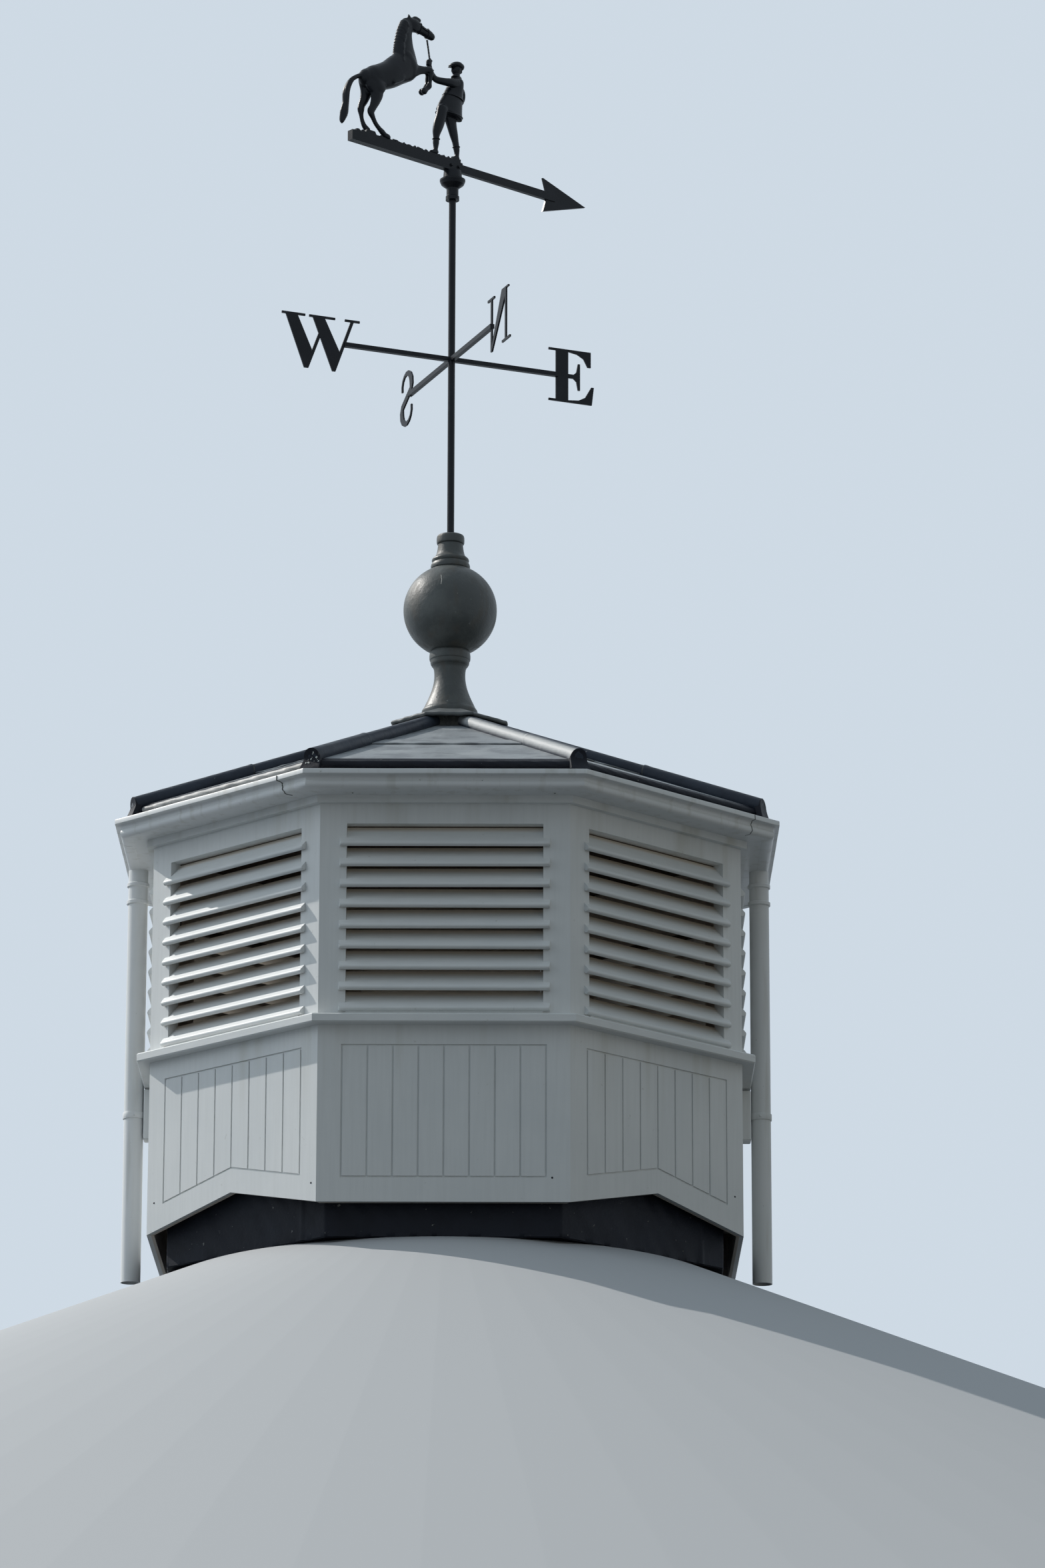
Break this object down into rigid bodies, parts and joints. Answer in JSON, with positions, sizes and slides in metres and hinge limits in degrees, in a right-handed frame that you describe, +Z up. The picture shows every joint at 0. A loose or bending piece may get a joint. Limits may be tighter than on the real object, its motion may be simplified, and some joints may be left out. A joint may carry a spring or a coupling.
{
  "type": "roof cupola",
  "caption": "Octagonal louvred barn cupola: boarded skirt, ogee gutter, lead roof, ball finial, compass letters and a turning horse and groom weathervane.",
  "frame": {"origin": "middle of the curb's underside, on the axis of the mast", "axes": "+Z up along the mast; the front side faces -Y; +X to the right as seen from the front"},
  "size_m": [2.26, 2.26, 4.6291],
  "materials": {
    "white_paint": "painted, satin",
    "white_metal": "painted, gloss",
    "bare_timber": "sawn",
    "roof_lead": "dull, weathered lead sheet",
    "dark_lead": "dull, dark lead sheet",
    "finial_grey": "satin",
    "black_iron": "satin black"
  },
  "bodies": {
    "housing": {"curb": "dark_lead", "skirt_front": "white_paint", "skirt_front_right": "white_paint", "skirt_right": "white_paint", "skirt_back_right": "white_paint", "skirt_back": "white_paint", "skirt_back_left": "white_paint", "skirt_left": "white_paint", "skirt_front_left": "white_paint", "sill": "white_paint", "post_front_right": "white_paint", "post_right_front": "white_paint", "post_right_back": "white_paint", "post_back_right": "white_paint", "post_back_left": "white_paint", "post_left_back": "white_paint", "post_left_front": "white_paint", "post_front_left": "white_paint", "head_rail": "white_paint", "louvres_front": "white_paint", "louvres_front_right": "white_paint", "louvres_right": "white_paint", "louvres_back_right": "white_paint", "louvres_back": "white_paint", "louvres_back_left": "white_paint", "louvres_left": "white_paint", "louvres_front_left": "white_paint", "fascia": "white_paint", "gutter": "white_metal", "downpipe_left": "white_metal", "downpipe_right": "white_metal", "roof_deck": "bare_timber", "lead_lower": "roof_lead", "lead_upper": "roof_lead", "drip_edge": "dark_lead", "hip_rolls": "roof_lead", "roll_ends": "dark_lead", "saddle": "roof_lead", "finial_stem": "finial_grey", "finial_ball": "finial_grey", "finial_neck": "finial_grey", "mast": "black_iron", "compass_arms": "black_iron", "letter_n": "black_iron", "letter_e": "black_iron", "letter_s": "black_iron", "letter_w": "black_iron"},
    "vane": {"vane_hub": "black_iron", "vane_bar": "black_iron", "arrow_head": "black_iron", "horse": "black_iron", "groom": "black_iron", "lead_rein": "black_iron"}
  },
  "joints": [
    {"name": "vane_spin", "type": "hinge", "parent": "housing", "child": "vane", "pos_m": [0, 0, 4], "axis": [0, 0, 1], "continuous": true}
  ]
}
